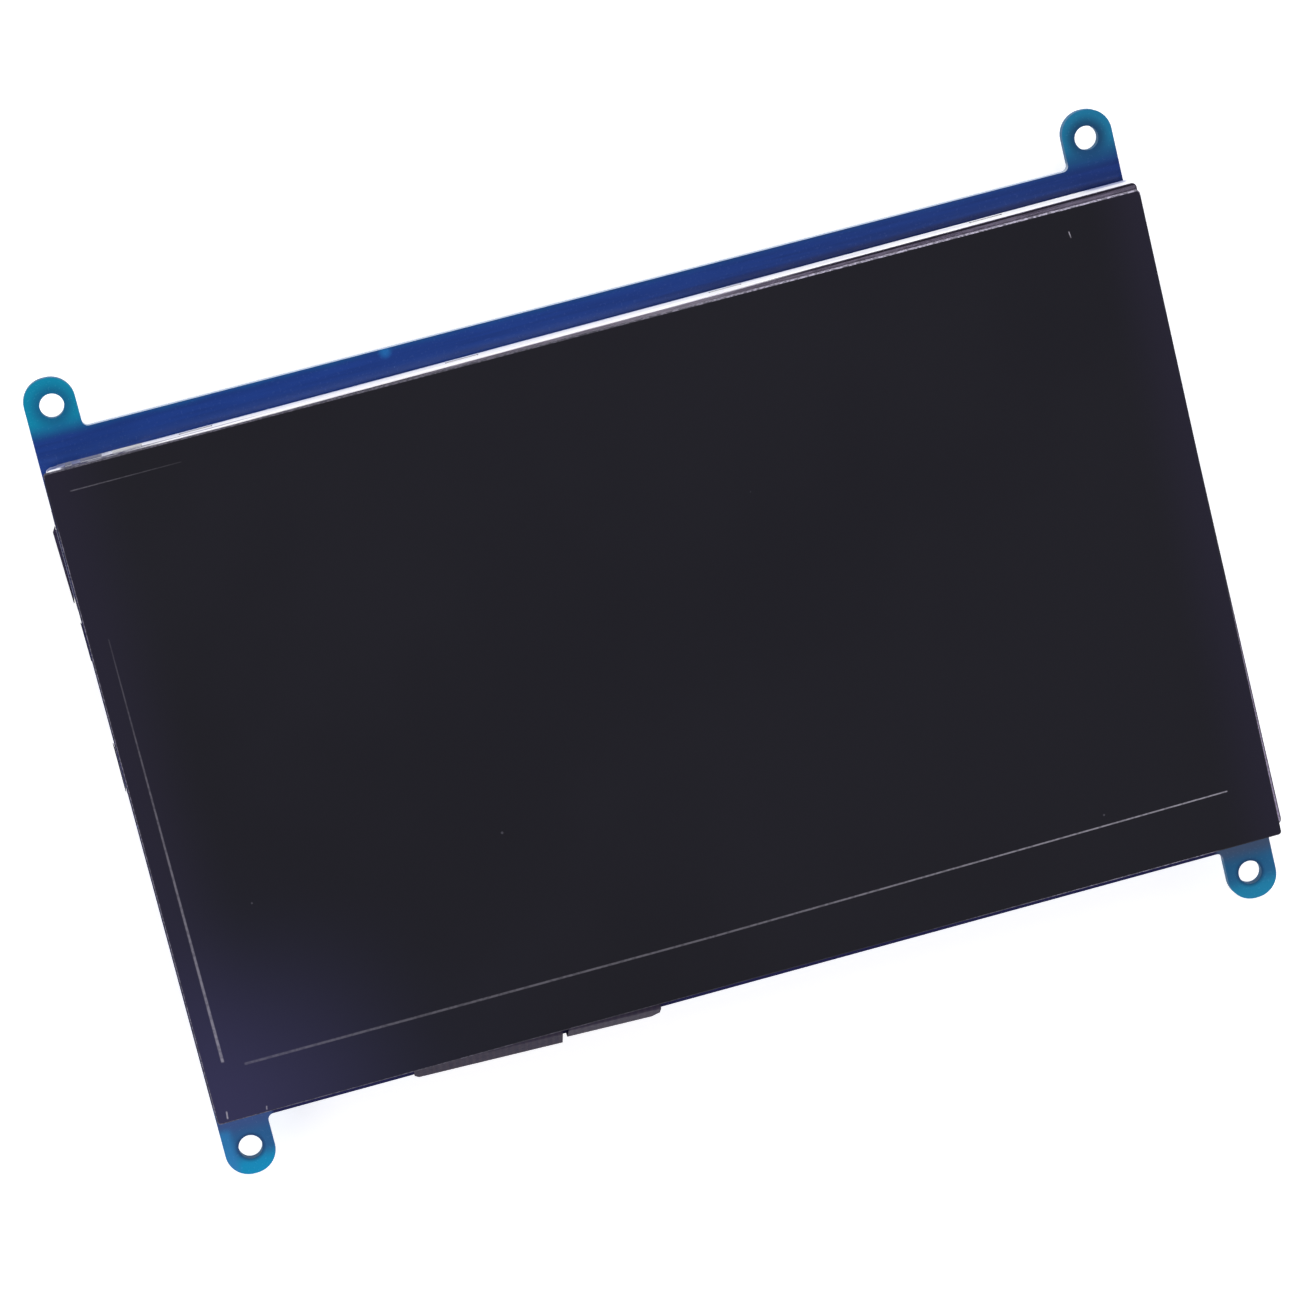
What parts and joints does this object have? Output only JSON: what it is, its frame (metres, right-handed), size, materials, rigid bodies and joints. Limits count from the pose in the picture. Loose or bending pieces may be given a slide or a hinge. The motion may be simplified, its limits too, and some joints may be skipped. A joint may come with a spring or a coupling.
{
  "type": "touchscreen display module",
  "caption": "Bare flat touch display: a black cover glass and panel module on a lugged circuit board, with folded flex tails and side plug sockets on its back.",
  "frame": {"origin": "centre of the four lug holes on the back face of the circuit board", "axes": "+X to the viewer's right along the screen's long side, +Y to the top of the screen, +Z out of the screen"},
  "size_m": [0.167, 0.1232, 0.0145],
  "materials": {
    "board": "satin solder mask on glass fibre board",
    "cover": "gloss, black print behind",
    "sensor": "gloss",
    "cell": "gloss",
    "polariser": "satin",
    "foam": "matte",
    "tape": "matte",
    "sheet_metal": "satin",
    "white_plastic": "matte",
    "clear_plastic": "gloss",
    "lamp": "gloss",
    "flex": "satin",
    "chip_black": "matte",
    "socket_cream": "matte",
    "latch": "matte",
    "contact": "bright",
    "shell": "bright plated",
    "socket_black": "matte",
    "can": "satin",
    "ferrite": "matte",
    "ceramic": "satin"
  },
  "bodies": {
    "display": {"circuit_board": "board", "mounting_tape": "tape", "rear_tray": "sheet_metal", "panel_frame": "white_plastic", "reflector_film": "white_plastic", "light_guide": "clear_plastic", "lamp_strip": "flex", "backlight_lamps": "lamp", "diffuser_film": "white_plastic", "lower_prism_film": "clear_plastic", "upper_prism_film": "clear_plastic", "rear_polariser": "polariser", "cell_glass": "cell", "filter_glass": "cell", "driver_chips": "chip_black", "front_polariser": "polariser", "cell_cushion": "foam", "front_bezel": "sheet_metal", "touch_gasket": "foam", "touch_sensor": "sensor", "cover_glass": "cover", "panel_flex": "flex", "touch_flex": "flex", "touch_chip": "chip_black", "panel_socket": "socket_cream", "panel_contacts": "contact", "touch_socket": "socket_cream", "touch_contacts": "contact", "video_shell": "shell", "video_tongue": "socket_black", "video_contacts": "contact", "power_shell": "shell", "power_tongue": "socket_black", "power_contacts": "contact", "data_shell": "shell", "data_tongue": "socket_black", "data_contacts": "contact", "switch_case": "shell", "switch_base": "socket_black", "scaler_chip": "chip_black", "bridge_chip": "chip_black", "memory_chip": "chip_black", "regulators": "chip_black", "boost_chip": "chip_black", "power_inductors": "ferrite", "rectifiers": "chip_black", "electrolytic_capacitors": "can", "crystal_cans": "shell", "crystal_bases": "chip_black", "chip_capacitors": "ceramic", "chip_resistors": "chip_black", "indicator_lamp": "lamp"},
    "panel_latch": {"panel_latch": "latch"},
    "touch_latch": {"touch_latch": "latch"},
    "switch_slider": {"switch_slider": "socket_black"}
  },
  "joints": [
    {"name": "panel_latch_flip", "type": "hinge", "parent": "display", "child": "panel_latch", "pos_m": [-0.0415, -0.04215, -0.0015], "axis": [-1, 0, 0], "range_deg": [0, 90]},
    {"name": "touch_latch_flip", "type": "hinge", "parent": "display", "child": "touch_latch", "pos_m": [-0.02125, -0.03665, -0.0015], "axis": [-1, 0, 0], "range_deg": [0, 90]},
    {"name": "switch_slide", "type": "slide", "parent": "display", "child": "switch_slider", "axis": [0, 1, 0], "range_m": [0, 0.002]}
  ]
}
